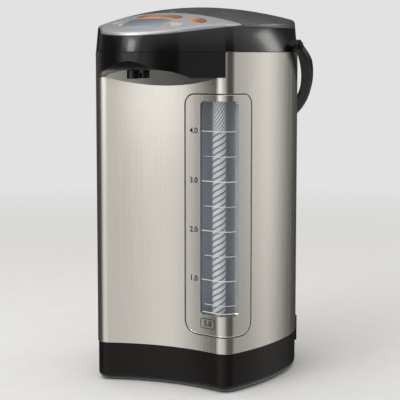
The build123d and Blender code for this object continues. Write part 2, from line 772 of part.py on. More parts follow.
def tube_along(points, radii, outer_r, inner_r):
    path = FilletPolyline(*points, radius=radii)
    start = Plane(origin=path @ 0, z_dir=path % 0)
    outer = sweep(start * Circle(outer_r), path)
    inner = sweep(start * Circle(inner_r), path)
    return outer - inner


def feed_tube():
    turn = math.radians(PORT_ANGLE)
    start = (28.05 * math.cos(turn), PUMP_Y + 28.05 * math.sin(turn), 30.5)
    points = [start, (TUBE_X, TUBE_Y, 30.5), (TUBE_X, TUBE_Y, 52.0)]
    return tube_along(points, 9.0, 4.5, 2.8)


def gauge_tube():
    outer = cyl(TUBE_X, TUBE_Y, TUBE_R, 52, GAUGE_TOP)
    return outer - cyl(TUBE_X, TUBE_Y, TUBE_R - 1.4, 50, GAUGE_TOP + 5)


def outlet_tube():
    x, y = NOZZLE_XY
    points = [(TUBE_X, TUBE_Y, GAUGE_TOP), (TUBE_X, TUBE_Y, SPOUT_PIPE_Z), (x, y, SPOUT_PIPE_Z)]
    tube = tube_along(points, 9.0, 4.3, PIPE_BORE_R)
    cap = cyl(TUBE_X, TUBE_Y, TUBE_R, GAUGE_TOP, GAUGE_TOP + 3)
    tube += cap - cyl(TUBE_X, TUBE_Y, PIPE_BORE_R, GAUGE_TOP - 2, GAUGE_TOP + 5)
    return tube - cyl(x, y, NOZZLE_R, 300, 360)


def window_bezel():
    z0, z1 = BEZEL_Z[0] - 10, BEZEL_Z[1] + 10
    face = skin(0.15, STEEL_T, z0, z1) & bezel_column(-GROOVE)
    flange = skin(STEEL_T, 3.2, z0, z1) & bezel_column(4.0)
    return face + flange - window_column()


def window_pane():
    return skin(0.35, 2.6, WINDOW_Z[0] - 5, WINDOW_Z[1] + 5) & window_column()


def window_backing():
    """Channel behind the pane that carries the tube."""
    points = [(38.0, -105.0), (46.0, -91.5), (63.0, -84.5), (76.5, -89.5), (80.6, -97.5)]
    z0, z1 = WINDOW_Z[0] - 7, WINDOW_Z[1] + 7
    wall = prism(trace(Polyline(*points), line_width=1.6), z0, z1)
    ends = make_face(Polyline(*points, (71.5, -110.0), (60.0, -110.0), close=True))
    wall += prism(ends, z0, z0 + 1.6) + prism(ends, z1 - 1.6, z1)
    wall &= prism(plan(3.2, CORNER_R - 3.2), z0, z1)
    return wall - cyl(TUBE_X, TUBE_Y, TUBE_R, 40, 350)


def arm_relief(side):
    """Area cut from the outside of one arm, so that it thins towards its pivot."""
    start = (side * PIVOT_FACE, -8)
    end = (side * 117.8, 34)
    lines = [
        Spline(start, end, tangents=((side * 0.15, 1), (-side * 0.165, 1))),
        Line(end, (side * 130, 34)),
        Line((side * 130, 34), (side * 130, -8)),
        Line((side * 130, -8), start),
    ]
    return make_face(lines)


def bail_handle():
    right = Pos(0, 200) * Rectangle(400, 400)
    bow = (Ellipse(BAIL_HALF, BAIL_REACH) - Ellipse(BAIL_INNER_HALF, BAIL_INNER_REACH)) & right
    for side in (-1, 1):
        bow -= arm_relief(side)
    ring = Pos(0, 0, -BAIL_THICK / 2) * extrude(bow, amount=BAIL_THICK)
    rims = [e for e in ring.edges() if e.length > 20]
    ring = fillet(rims, BAIL_ROUND)
    for side in (-1, 1):
        inner, outer = sorted((side * BAIL_INNER_HALF, side * PIVOT_FACE))
        ring += cyl_x(inner, outer, 0, 0, PIVOT_R)
        inner, outer = sorted((side * PIVOT_FACE, side * 130.0))
        ring -= cyl_x(inner, outer, 0, 0, PIN_HEAD_R + 0.4)
        inner, outer = sorted((side * 100.0, side * 130.0))
        ring -= cyl_x(inner, outer, 0, 0, BAIL_PIN_R + RUNNING)
    return Pos(0, 0, BAIL_Z) * Rot(-BAIL_DROP, 0, 0) * ring


def handle_pins():
    pins = []
    for side in (-1, 1):
        inner, outer = sorted((side * 98.0, side * 114.5))
        pin = cyl_x(inner, outer, 0, BAIL_Z, BAIL_PIN_R - SEATED)
        inner, outer = sorted((side * 113.1, side * 114.9))
        pins.append(pin + cyl_x(inner, outer, 0, BAIL_Z, PIN_HEAD_R))
    return Compound(children=pins)


def plug_receptacle():
    z0, z1 = PLUG_Z
    body = receptacle_space(96, PLUG_FACE_R, PLUG_HALF, z0, z1)
    body = fillet(body.faces().sort_by(Axis((0, 0, 0), _plug_direction()))[-1].edges(), 2.0)
    return body - receptacle_space(PLUG_FACE_R - 8, 120, PLUG_HALF - 5, z0 + 5, z1 - 5)


def _plug_direction():
    turn = math.radians(PLUG_ANGLE)
    return (math.cos(turn), math.sin(turn), 0)


def receptacle_pins():
    pins = []
    mid = sum(PLUG_Z) / 2
    for v in (-6, 6):
        pins.append(Rot(0, 0, PLUG_ANGLE) * cyl_x(PLUG_FACE_R - 8, PLUG_FACE_R - 2.5, v, mid, 1.8))
    return Compound(children=pins)


def power_board():
    board = block(-BOARD_HALF, BOARD_HALF, *BOARD_Y, BOARD_Z, BOARD_Z + 1.6)
    top = BOARD_Z + 1.4
    board += block(-24, -6, 30, 48, top, top + 14)
    board += block(4, 20, 52, 64, top, top + 10)
    board += cyl(28, 36, 5, top, top + 15)
    board += cyl(-20, 58, 4, top, top + 12)
    board += block(*HARNESS_X, BOARD_Y[0], BOARD_Y[0] + 8, top, RIBBON_Z - 0.6)
    return board


def wire_harness():
    points = [
        (BOARD_Y[0] + 6, RIBBON_Z),
        (HARNESS_Y, RIBBON_Z),
        (HARNESS_Y, 338),
        (HARNESS_UP_Y, 347),
        (HARNESS_UP_Y, panel_floor(HARNESS_UP_Y) - 0.2),
    ]
    ribbon = trace(Polyline(*points), line_width=1.2)
    x0, x1 = HARNESS_X
    return Pos(x0, 0, 0) * extrude(Plane.YZ * ribbon, amount=x1 - x0)


head = head_form()
parts = {
    "body_shell": body_shell(),
    "spout_bay": spout_bay(),
    "base_housing": base_housing(),
    "base_plate": base_plate(),
    "rubber_feet": rubber_feet(),
    "base_screws": base_screws(),
    "shoulder_housing": shoulder_housing(head),
    "spout_cover": spout_cover(),
    "nozzle": nozzle(),
    "control_panel": control_panel(head),
    "lcd_window": lcd_window(),
    "control_board": control_board(),
    "lid_cover": lid_cover(head),
    "lid_base": lid_base(),
    "lid_inner_plate": lid_inner_plate(),
    "lid_seal": lid_seal(),
    "steam_duct": steam_duct(),
    "steam_vent_cap": steam_vent_cap(),
    "lid_lever": lid_lever(),
    "lever_pin": lever_pin(),
    "lid_latch": lid_latch(),
    "hinge_pin": hinge_pin(),
    "container_liner": container_liner(),
    "vacuum_jacket": vacuum_jacket(),
    "neck_ring": neck_ring(),
    "heater_plate": heater_plate(),
    "temperature_sensor": temperature_sensor(),
    "thermal_fuse": thermal_fuse(),
    "pump_housing": pump_housing(),
    "impeller": impeller(),
    "pump_bracket": pump_bracket(),
    "motor": motor(),
    "motor_rotor": motor_rotor(),
    "feed_tube": feed_tube(),
    "gauge_tube": gauge_tube(),
    "outlet_tube": outlet_tube(),
    "window_bezel": window_bezel(),
    "window_pane": window_pane(),
    "window_backing": window_backing(),
    "handle": bail_handle(),
    "handle_pins": handle_pins(),
    "plug_receptacle": plug_receptacle(),
    "receptacle_pins": receptacle_pins(),
    "power_board": power_board(),
    "wire_harness": wire_harness(),
}
for name, x, y, half_x, half_y in KEYS:
    parts[name] = key(x, y, half_x, half_y)

# The origin lies on the table under the middle of the outer box: nose tip and bail set its depth.
AXIS_Y = -(head.bounding_box().min.Y + parts["handle"].bounding_box().max.Y) / 2
for name, solid in parts.items():
    export_step(Pos(0, AXIS_Y, -FLOOR_Z) * solid, f"parts/{name}.step")
print("container axis at y =", round(AXIS_Y, 4))
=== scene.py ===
import json
import math

import bpy
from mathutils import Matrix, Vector


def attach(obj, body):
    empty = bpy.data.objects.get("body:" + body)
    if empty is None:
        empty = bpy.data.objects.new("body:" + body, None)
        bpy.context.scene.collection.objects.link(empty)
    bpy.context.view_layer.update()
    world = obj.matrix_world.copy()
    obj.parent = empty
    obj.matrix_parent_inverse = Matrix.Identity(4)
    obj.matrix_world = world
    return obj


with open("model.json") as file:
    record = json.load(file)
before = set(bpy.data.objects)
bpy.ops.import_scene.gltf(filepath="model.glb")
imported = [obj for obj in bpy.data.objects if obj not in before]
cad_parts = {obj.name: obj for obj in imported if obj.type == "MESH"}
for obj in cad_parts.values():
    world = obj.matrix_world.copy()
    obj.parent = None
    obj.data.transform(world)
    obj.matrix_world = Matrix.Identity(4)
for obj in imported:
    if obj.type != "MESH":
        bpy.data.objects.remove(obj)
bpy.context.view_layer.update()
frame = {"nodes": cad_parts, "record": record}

NODES = frame["nodes"]

# ---------------------------------------------------------------- the pot's own sizes, in mm
# The same values as in the CAD: drawn about the container's axis, front towards -Y.
AXIS_Y = 31.6606  # the container's axis stands this far behind the frame's origin
FLOOR_Z = -2.6
BODY_R = 104.0
SIDE_R = 250.0
FACE_Y = -104.5
FACE_R = 195.6
CORNER_R = 14.0
CROWN_Z = 400.3
DOME_Y = 2.0
DOME_R = 590.0
DOME_ACROSS = 0.0020  # how fast the dome falls to the sides at DOME_ACROSS_Y
DOME_ACROSS_Y = -94.0
DOME_ACROSS_SLOPE = 0.0000033  # how much slower it falls for each mm further back
BEZEL_X, BEZEL_Y, BEZEL_Z = 23.0, -83.3, (55.8, 308.7)
BEZEL_R_TOP, BEZEL_R_BOTTOM = 12.0, 15.0
GROOVE = 1.2  # gap all round the bezel
BASE_TOP = 39.2
STEEL_TOP = 351.0
NOSE_TIP_Y = -190.5
NOSE_R = 52.0
FLANK_ANGLE = 60.5  # degrees that the tip arc turns on each side
WINDOW_X, WINDOW_Y, WINDOW_Z = 42.2, -101.6, (78.3, 300.7)
WINDOW_CORNER_R = 4.0
TUBE_X, TUBE_Y, TUBE_R = 60.5, -101.5, 7.0

# ---------------------------------------------------------------- sizes of the prints and thin lines, in mm
HALF_LITRE = 25.75  # height between two marks of the gauge
MARKS = 8
FIRST_MARK_Z = 89.8
FULL_LINE_Z = 270.3  # the tube's stripes are broad below this and fine above
FOOT_MARK_RISE = 3.2  # lowest line, above the window's lower edge
MARK_PROUD = 0.14
PANE_DEPTH = 0.35  # the pane's surface lies this far inside the wall's
FIGURE_X = 34.2
FIGURE_HEIGHT = 6.0
FONT_PER_CAP = 1.38  # size of the font for capitals one unit tall
BOX_FIGURE_HEIGHT = 5.8
BOX_S, BOX_Z = 52.4, 69.2  # middle of the box under the gauge, along the wall and up
BOX_HALF_S, BOX_HALF_Z = 9.3, 5.0
BOX_CORNER_R = 2.6
BOX_LINE_HALF = 0.36
FLANK_LENGTH = 52.0  # straight run of the nose's flank that its seam follows
CROWN_START_Z = 344.0  # the black band is shaded as if it leaned back above this height
CROWN_R = 72.0
OPENING_END_X = (78.5, 81.9)  # the flat end of the window's opening, at its right


def metres(x, y, z):
    """A point drawn about the container's axis in mm, as the row frame's metres."""
    return (x / 1000, (y + AXIS_Y) / 1000, (z - FLOOR_Z) / 1000)


# ---------------------------------------------------------------- the wall round the front right corner
FACE_CENTRE_Y = FACE_Y - FACE_R
SIDE_CENTRE_X = BODY_R - SIDE_R


def corner_centre():
    """Centre of the rounding between the hollow face and the side."""
    reach_face, reach_side = FACE_R + CORNER_R, SIDE_R - CORNER_R
    dx, dy = SIDE_CENTRE_X, -FACE_CENTRE_Y
    span = math.hypot(dx, dy)
    along = (reach_face**2 - reach_side**2 + span**2) / (2 * span)
    off = math.sqrt(reach_face**2 - along**2)
    return (along * dx + off * dy) / span, FACE_CENTRE_Y + (along * dy - off * dx) / span


CORNER_X, CORNER_Y = corner_centre()
FACE_END = math.atan2(CORNER_X, CORNER_Y - FACE_CENTRE_Y)
TURN_START = math.atan2(-math.cos(FACE_END), -math.sin(FACE_END))
TURN_END = math.atan2(CORNER_Y, CORNER_X - SIDE_CENTRE_X)
FACE_LENGTH = FACE_R * FACE_END
TURN_LENGTH = CORNER_R * (TURN_END - TURN_START)
SIDE_END = FACE_LENGTH + TURN_LENGTH - SIDE_R * TURN_END
HALF_ROUND = SIDE_END + BODY_R * math.pi / 2


def wall(s, z, out):
    """Point on the wall, s mm along its plan from the middle of the face, z mm up, out mm proud."""
    if s < 0:
        x, y, z = wall(-s, z, out)
        return (-x, y, z)
    if s < FACE_LENGTH:
        angle = s / FACE_R
        radius = FACE_R - out
        x, y = radius * math.sin(angle), FACE_CENTRE_Y + radius * math.cos(angle)
    elif s < FACE_LENGTH + TURN_LENGTH:
        angle = TURN_START + (s - FACE_LENGTH) / CORNER_R
        radius = CORNER_R + out
        x, y = CORNER_X + radius * math.cos(angle), CORNER_Y + radius * math.sin(angle)
    elif s > SIDE_END:
        angle = (s - SIDE_END) / BODY_R
        radius = BODY_R + out
        x, y = radius * math.cos(angle), radius * math.sin(angle)
    else:
        angle = TURN_END + (s - FACE_LENGTH - TURN_LENGTH) / SIDE_R
        radius = SIDE_R + out
        x, y = SIDE_CENTRE_X + radius * math.cos(angle), radius * math.sin(angle)
    return metres(x, y, z)


def along_face(x):
    """How far along the wall the hollow face reaches x."""
    return FACE_R * math.asin(x / FACE_R)


def along_side(y):
    """How far along the wall the side reaches y."""
    return FACE_LENGTH + TURN_LENGTH + SIDE_R * (math.asin(y / SIDE_R) - TURN_END)


def nose(share, z, out):
    """Point on the nose: share runs from -1, the left flank's root, past 0 at the tip to 1 on the right."""
    turn = math.radians(FLANK_ANGLE)
    radius = NOSE_R + out
    arc = NOSE_R * turn
    run = abs(share) * (arc + FLANK_LENGTH)
    if run < arc:
        x = radius * math.sin(run / NOSE_R)
        y = NOSE_TIP_Y + NOSE_R - radius * math.cos(run / NOSE_R)
    else:
        x = radius * math.sin(turn) + (run - arc) * math.cos(turn)
        y = NOSE_TIP_Y + NOSE_R - radius * math.cos(turn) + (run - arc) * math.sin(turn)
    return metres(math.copysign(x, share), y, z)


def opening_end(x, z, out):
    """Point on the flat end of the window's opening, which faces the front."""
    return metres(x, WINDOW_Y + out, z)


def dome(x, y):
    """Height of the domed top."""
    across = DOME_ACROSS - (y - DOME_ACROSS_Y) * DOME_ACROSS_SLOPE
    return CROWN_Z - (y - DOME_Y) ** 2 / (2 * DOME_R) - across * x**2


# ---------------------------------------------------------------- making and placing pieces
def piece(name, verts, faces, material, slot, smooth=True):
    """A new mesh that rides on the pot and takes the material it is given; the slot is not used."""
    mesh = bpy.data.meshes.new(name)
    mesh.from_pydata([Vector(v) for v in verts], [], faces)
    mesh.validate()
    mesh.update()
    for polygon in mesh.polygons:
        polygon.use_smooth = smooth
    obj = bpy.data.objects.new(name, mesh)
    bpy.context.scene.collection.objects.link(obj)
    mesh.materials.append(material)
    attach(obj, "pot")


def band_faces(sections, points, first=0, closed=False):
    """Faces between closed sections of so many points each, the last joined to the first where closed."""
    faces = []
    for section in range(sections if closed else sections - 1):
        here = first + section * points
        ahead = first + (section + 1) % sections * points
        for point in range(points):
            beside = (point + 1) % points
            faces.append((here + point, here + beside, ahead + beside, ahead + point))
    return faces


def fan_faces(count):
    """Triangles from point 0 to each side of a ring of points that follows it."""
    return [(0, 1 + i, 1 + (i + 1) % count) for i in range(count)]


def raised_mark(verts, faces, start, end, z, half):
    """Adds a thin raised line that follows the pane from start to end along the wall, half mm each way."""
    spacing = 2.0
    count = max(2, int(abs(end - start) / spacing) + 1)
    first = len(verts)
    foot, shoulder = -0.25, MARK_PROUD * 0.6
    profile = (
        (-half, foot), (-half, shoulder), (-half * 0.5, MARK_PROUD),
        (half * 0.5, MARK_PROUD), (half, shoulder), (half, foot),
    )
    points = len(profile)
    for i in range(count):
        s = start + (end - start) * i / (count - 1)
        verts += [wall(s, z + up, lift - PANE_DEPTH) for up, lift in profile]
    faces += band_faces(count, points, first)
    faces.append(tuple(first + point for point in reversed(range(points))))
    faces.append(tuple(first + (count - 1) * points + point for point in range(points)))


def rounded_loop(left, right, z0, z1, r_top, r_bottom):
    """Closed path (s, z) with rounded corners: its left edge on the face, its right edge on the side."""
    steps, rows, spacing = 8, 12, 2.0
    quarter = [math.pi / 2 * i / steps for i in range(steps + 1)]
    upright = z1 - z0 - r_bottom - r_top

    def corner(along, edge, inward, z, up, r, angles):
        """One corner: along is along_face or along_side, inward and up are 1 or -1 towards its middle."""
        points = []
        for angle in angles:
            sideways, rise = r * (1 - math.cos(angle)), r * (1 - math.sin(angle))
            points.append((along(edge + inward * sideways), z + up * rise))
        return points

    def level(start, end, z):
        """The run from one corner to the next, without its ends."""
        count = int(abs(end - start) / spacing)
        return [(start + (end - start) * i / count, z) for i in range(1, count)]

    backwards = quarter[::-1]
    path = corner(along_face, left, 1, z0, 1, r_bottom, quarter)
    path += level(along_face(left + r_bottom), along_side(right - r_bottom), z0)
    path += corner(along_side, right, -1, z0, 1, r_bottom, backwards)
    path += [(along_side(right), z0 + r_bottom + upright * i / rows) for i in range(1, rows)]
    path += corner(along_side, right, -1, z1, -1, r_top, quarter)
    path += level(along_side(right - r_top), along_face(left + r_top), z1)
    path += corner(along_face, left, 1, z1, -1, r_top, backwards)
    path += [(along_face(left), z1 - r_top - upright * i / rows) for i in range(1, rows)]
    return path


def sweep_on_wall(name, path, profile, material, slot):
    """Runs a small profile round a closed path on the wall: (outward from the path, proud) in mm."""
    verts = []
    count = len(path)
    for i, (s, z) in enumerate(path):
        s_before, z_before = path[i - 1]
        s_after, z_after = path[(i + 1) % count]
        length = math.hypot(s_after - s_before, z_after - z_before)
        side_s, side_z = (z_after - z_before) / length, -(s_after - s_before) / length
        verts += [wall(s + aside * side_s, z + aside * side_z, out) for aside, out in profile]
    piece(name, verts, band_faces(count, len(profile), closed=True), material, slot)


def ribbon(name, point, values, heights, outs, material, slot):
    """Narrow band along an upright surface, with a hair of thickness: point(value, z, out)."""
    low, high = heights
    inner, outer = outs
    section = ((low, inner), (low, outer), (high, outer), (high, inner))
    verts = [point(value, z, out) for value in values for z, out in section]
    faces = band_faces(len(values), 4)
    faces.append((3, 2, 1, 0))
    last = 4 * (len(values) - 1)
    faces.append((last, last + 1, last + 2, last + 3))
    piece(name, verts, faces, material, slot, smooth=False)


def add_wall_text(verts, faces, text, s, z, height):
    """Adds printed figures, a hair thick and bent to the wall."""
    lift, thickness, boldness = -0.03, 0.08, 0.10
    curve = bpy.data.curves.new("figures", "FONT")
    curve.body = text
    curve.size = height * FONT_PER_CAP
    curve.align_x = "CENTER"
    curve.align_y = "CENTER"
    curve.extrude = thickness
    curve.offset = boldness
    curve.resolution_u = 4
    carrier = bpy.data.objects.new("figures", curve)
    bpy.context.scene.collection.objects.link(carrier)
    graph = bpy.context.evaluated_depsgraph_get()
    flat = bpy.data.meshes.new_from_object(carrier.evaluated_get(graph))
    first = len(verts)
    verts += [wall(s + v.co.x, z + v.co.y, v.co.z + lift) for v in flat.vertices]
    faces += [tuple(first + i for i in p.vertices) for p in flat.polygons]
    bpy.data.objects.remove(carrier)


def dome_patch(name, outline, lift, material, slot, rings=6):
    """A thin plate that follows the dome, from a star-shaped outline in mm."""
    thickness, edge_drop = 0.3, 0.08
    count = len(outline)
    cx = sum(x for x, y in outline) / count
    cy = sum(y for x, y in outline) / count
    verts = [metres(cx, cy, dome(cx, cy) + lift)]
    for ring in range(1, rings + 1):
        share = ring / rings
        drop = edge_drop if ring == rings else 0.0
        for x, y in outline:
            px, py = cx + (x - cx) * share, cy + (y - cy) * share
            verts.append(metres(px, py, dome(px, py) + lift - drop))
    verts += [metres(x, y, dome(x, y) + lift - thickness) for x, y in outline]
    faces = fan_faces(count)
    for ring in range(rings):
        base = 1 + ring * count
        for i in range(count):
            beside = (i + 1) % count
            faces.append((base + i, base + count + i, base + count + beside, base + beside))
    piece(name, verts, faces, material, slot)


def full_turn(count):
    """So many angles, evenly spaced."""
    return [2 * math.pi * i / count for i in range(count)]


def oval(cx, cy, half_x, half_y):
    """Outline of an ellipse, anticlockwise."""
    return [(cx + half_x * math.cos(angle), cy + half_y * math.sin(angle)) for angle in full_turn(40)]


def rounded_polygon(points, radius, steps=5):
    """Outline with rounded corners, anticlockwise."""
    outline = []
    for i, (x, y) in enumerate(points):
        x0, y0 = points[i - 1]
        x1, y1 = points[(i + 1) % len(points)]
        back = math.hypot(x0 - x, y0 - y)
        ahead = math.hypot(x1 - x, y1 - y)
        cut = min(radius, 0.45 * back, 0.45 * ahead)
        ax, ay = x + (x0 - x) * cut / back, y + (y0 - y) * cut / back
        bx, by = x + (x1 - x) * cut / ahead, y + (y1 - y) * cut / ahead
        for step in range(steps + 1):
            share = step / steps
            start, middle, end = (1 - share) ** 2, 2 * share * (1 - share), share**2
            outline.append((ax * start + x * middle + bx * end, ay * start + y * middle + by * end))
    return outline


def rectangle(x0, x1, y0, y1):
    """Its four corners, anticlockwise."""
    return [(x0, y0), (x1, y0), (x1, y1), (x0, y1)]


# ---------------------------------------------------------------- materials
X, Y, Z = 0, 1, 2  # the numbers of a vector
NOISE_LOW, NOISE_HIGH = 0.3, 0.7  # nearly all of a noise lies between these
UPRIGHT = (1, 1, 0.012)  # draws a noise out into upright lines
BEVEL_R = 0.0004  # metres: edges are shaded as if rounded by this much


class Nodes:
    """A node tree that is built up from small procedural parts."""

    def __init__(self, tree):
        self.tree = tree
        self.tree.nodes.clear()

    def add(self, kind, **values):
        node = self.tree.nodes.new(kind)
        for key, value in values.items():
            setattr(node, key, value)
        return node

    def link(self, a, b):
        self.tree.links.new(a, b)

    def feed(self, socket, value):
        """Gives a socket a number, a colour or the output of another node."""
        if isinstance(value, (int, float)):
            socket.default_value = value
        elif isinstance(value, tuple):
            socket.default_value = (*value, 1)
        else:
            self.link(value, socket)

    def part(self, vector, index):
        """One of a vector's three numbers."""
        node = self.add("ShaderNodeSeparateXYZ")
        self.link(vector, node.inputs["Vector"])
        return node.outputs[index]

    def maths(self, operation, a, b=0.0):
        node = self.add("ShaderNodeMath", operation=operation)
        self.feed(node.inputs[0], a)
        self.feed(node.inputs[1], b)
        return node.outputs[0]

    def map_range(self, value, low, high, to_low, to_high):
        node = self.add("ShaderNodeMapRange")
        for key, number in (("From Min", low), ("From Max", high), ("To Min", to_low), ("To Max", to_high)):
            node.inputs[key].default_value = number
        self.link(value, node.inputs["Value"])
        return node.outputs["Result"]

    def ramp(self, value, stops):
        """Colour that passes softly from one stop (place, colour) to the next."""
        node = self.add("ShaderNodeValToRGB")
        node.color_ramp.interpolation = "EASE"
        elements = node.color_ramp.elements
        while len(elements) < len(stops):
            elements.new(0.5)
        for element, (at, colour) in zip(elements, stops):
            element.position = at
            element.color = (*colour, 1)
        self.link(value, node.inputs["Fac"])
        return node.outputs["Color"]

    def mix(self, factor, a, b):
        node = self.add("ShaderNodeMix", data_type="RGBA")
        for index, value in ((0, factor), (6, a), (7, b)):
            self.feed(node.inputs[index], value)
        return node.outputs[2]

    def mix_shaders(self, factor, a, b):
        node = self.add("ShaderNodeMixShader")
        for socket, value in zip(node.inputs, (factor, a, b)):
            self.link(value, socket)
        return node.outputs[0]


class Material(Nodes):
    """A material, with places on the object in metres and noises over it."""

    def __init__(self, name):
        self.material = bpy.data.materials.new(name)
        self.material.use_nodes = True
        super().__init__(self.material.node_tree)
        self.output = self.add("ShaderNodeOutputMaterial")
        self.place = self.add("ShaderNodeTexCoord").outputs["Object"]

    def surface(self, socket):
        self.link(socket, self.output.inputs["Surface"])

    def axis(self, index):
        return self.part(self.place, index)

    def noise(self, scale, stretch=(1, 1, 1), detail=3.0, roughness=0.55):
        place = self.add("ShaderNodeMapping")
        place.inputs["Scale"].default_value = stretch
        self.link(self.place, place.inputs["Vector"])
        node = self.add("ShaderNodeTexNoise")
        for key, number in (("Scale", scale), ("Detail", detail), ("Roughness", roughness)):
            node.inputs[key].default_value = number
        self.link(place.outputs["Vector"], node.inputs["Vector"])
        return node.outputs["Fac"]

    def along(self, index, start, end):
        """0 to 1 for places from start to end on one axis, in metres."""
        return self.map_range(self.axis(index), start, end, 0.0, 1.0)

    def spread(self, noise, low, high):
        """Number that a noise takes from low to high."""
        return self.map_range(noise, NOISE_LOW, NOISE_HIGH, low, high)

    def mottle(self, noise, dark, light):
        """Colour that a noise takes from dark to light."""
        return self.ramp(noise, ((NOISE_LOW, dark), (NOISE_HIGH, light)))

    def waver(self, value, noise, amount):
        """The value with a little of a noise added, so that a gradient isn't even."""
        return self.maths("ADD", value, self.maths("MULTIPLY", noise, amount))


class Shader(Material):
    """A material with one principled shader."""

    def __init__(self, name, roughness, metallic=0.0, specular=0.5, coat=0.0, coat_roughness=0.1,
                 alpha=1.0, anisotropic=0.0):
        super().__init__(name)
        self.principled = self.add("ShaderNodeBsdfPrincipled")
        self.surface(self.principled.outputs["BSDF"])
        for key, value in (
            ("Roughness", roughness),
            ("Metallic", metallic),
            ("Specular IOR Level", specular),
            ("Coat Weight", coat),
            ("Coat Roughness", coat_roughness),
            ("Alpha", alpha),
            ("Anisotropic", anisotropic),
        ):
            self.principled.inputs[key].default_value = value

    def colour(self, socket):
        self.link(socket, self.principled.inputs["Base Color"])

    def rough(self, noise, low, high):
        self.link(self.spread(noise, low, high), self.principled.inputs["Roughness"])

    def relief(self, height, distance, strength, edge=0.0):
        """Fine relief over edges that are shaded as rounded by edge metres."""
        bump = self.add("ShaderNodeBump")
        bump.inputs["Strength"].default_value = strength
        bump.inputs["Distance"].default_value = distance
        self.link(height, bump.inputs["Height"])
        if edge:
            bevel = self.add("ShaderNodeBevel", samples=4)
            bevel.inputs["Radius"].default_value = edge
            self.link(bevel.outputs["Normal"], bump.inputs["Normal"])
        self.link(bump.outputs["Normal"], self.principled.inputs["Normal"])


def shade(colour, factor):
    """A colour made darker or lighter."""
    return tuple(min(1.0, c * factor) for c in colour)


def brushed(name, colour, roughness=0.25, fine=900.0, contrast=0.05, metallic=1.0):
    """Metal with upright brush lines, or a ribbon of wires where it isn't metallic."""
    look = Shader(name, roughness, metallic, anisotropic=0.2)
    tangent = look.add("ShaderNodeTangent", direction_type="RADIAL", axis="Z")
    look.link(tangent.outputs["Tangent"], look.principled.inputs["Tangent"])
    lines = look.noise(fine, UPRIGHT, detail=4.0, roughness=0.7)
    broad = look.noise(26.0, (1, 1, 0.12), detail=2.0)
    both = look.waver(look.maths("MULTIPLY", lines, 0.7), broad, 0.3)
    look.colour(look.mottle(both, shade(colour, 1 - contrast), shade(colour, 1 + contrast)))
    look.rough(lines, roughness * 0.85, roughness * 1.2)
    look.relief(lines, 0.00003, 0.12, edge=0.0003)
    return look.material


def moulded(name, colour, roughness, grain=1400.0, grain_depth=0.00004, vary=0.12, **keys):
    """Plastic, rubber, mica or print, with a fine grain and slightly uneven gloss."""
    look = Shader(name, roughness, **keys)
    fine = look.noise(grain, detail=2.0)
    broad = look.noise(35.0)
    look.colour(look.mottle(broad, shade(colour, 1 - vary), shade(colour, 1 + vary)))
    look.rough(broad, roughness * 0.88, roughness * 1.12)
    look.relief(fine, grain_depth, 0.25, edge=BEVEL_R)
    return look.material


def silver_paint(name, colour, roughness):
    """Metallic paint: fine flakes in a clear coat."""
    look = Shader(name, roughness, metallic=0.75, coat=0.15, coat_roughness=0.12)
    flakes = look.noise(5200.0, detail=1.0)
    broad = look.noise(40.0, detail=2.0)
    tone = look.mottle(flakes, shade(colour, 0.93), shade(colour, 1.06))
    look.colour(look.mix(look.spread(broad, 0.0, 0.25), tone, shade(colour, 1.05)))
    look.rough(flakes, roughness * 0.9, roughness * 1.1)
    look.relief(flakes, 0.00001, 0.1, edge=BEVEL_R)
    return look.material


def key_with_painted_highlight(name, core, rim, x_mid, x_half):
    """Key with a painted highlight: its colour is brightest in the middle, x_mid mm across, and deepens to
    its ends.
    """
    look = Shader(name, 0.2, coat=0.3, coat_roughness=0.08)
    distance = look.maths("ABSOLUTE", look.maths("SUBTRACT", look.axis(X), x_mid / 1000))
    reach = look.map_range(distance, 0.0, x_half / 1000, 0.0, 1.0)
    # painted highlight: the core colour in the middle passes into the rim colour at the ends
    look.colour(look.ramp(look.waver(reach, look.noise(300.0), 0.12), ((0.1, core), (0.95, rim))))
    look.relief(look.noise(2500.0, detail=1.0), 0.00001, 0.15, edge=BEVEL_R)
    return look.material


def gauge_stripes():
    """Tube with slanting stripes: broad where water stands in it, fine and steep above."""
    look = Shader("gauge_glass", 0.18, coat=0.4, coat_roughness=0.05)
    height = look.axis(Z)
    behind = look.maths("SUBTRACT", look.axis(Y), (TUBE_Y + AXIS_Y) / 1000)
    beside = look.maths("SUBTRACT", look.axis(X), TUBE_X / 1000)
    around = look.maths("MULTIPLY", look.maths("ARCTAN2", behind, beside), TUBE_R / 1000)

    def stripes(slant, pitch, dark_edge, dark, light_edge):
        """Stripes a pitch of metres apart that rise by slant for each metre round the tube."""
        phase = look.maths("SUBTRACT", height, look.maths("MULTIPLY", around, slant))
        wave = look.maths("PINGPONG", look.maths("DIVIDE", phase, pitch), 0.5)
        return look.ramp(wave, ((dark_edge, dark), (light_edge, (0.90, 0.94, 0.97))))

    wet = stripes(0.55, 0.0064, 0.12, (0.22, 0.24, 0.26), 0.24)
    dry = stripes(1.43, 0.0047, 0.10, (0.20, 0.22, 0.24), 0.26)
    above = look.maths("GREATER_THAN", height, (FULL_LINE_Z - FLOOR_Z) / 1000)
    streaks = look.noise(700.0, (1, 1, 0.05))
    look.colour(look.mix(look.spread(streaks, 0.0, 0.18), look.mix(above, wet, dry), (0.50, 0.55, 0.60)))
    look.relief(look.noise(500.0), 0.00002, 0.1)
    return look.material


def gauge_recess():
    """Grey of the channel behind the pane, with painted shading: darker to the left, paler and cooler to
    the right.
    """
    look = Shader("gauge_backing", 0.42)
    # painted shading across the channel: the darker left and paler right stand for how light falls in it
    across = look.along(X, 0.040, 0.080)
    painted_shading_tones = ((0.0, (0.36, 0.375, 0.42)), (0.45, (0.33, 0.35, 0.37)), (1.0, (0.50, 0.55, 0.59)))
    look.colour(look.ramp(look.waver(across, look.noise(60.0, (1, 1, 0.05)), 0.08), painted_shading_tones))
    look.relief(look.noise(900.0), 0.00002, 0.15)
    return look.material


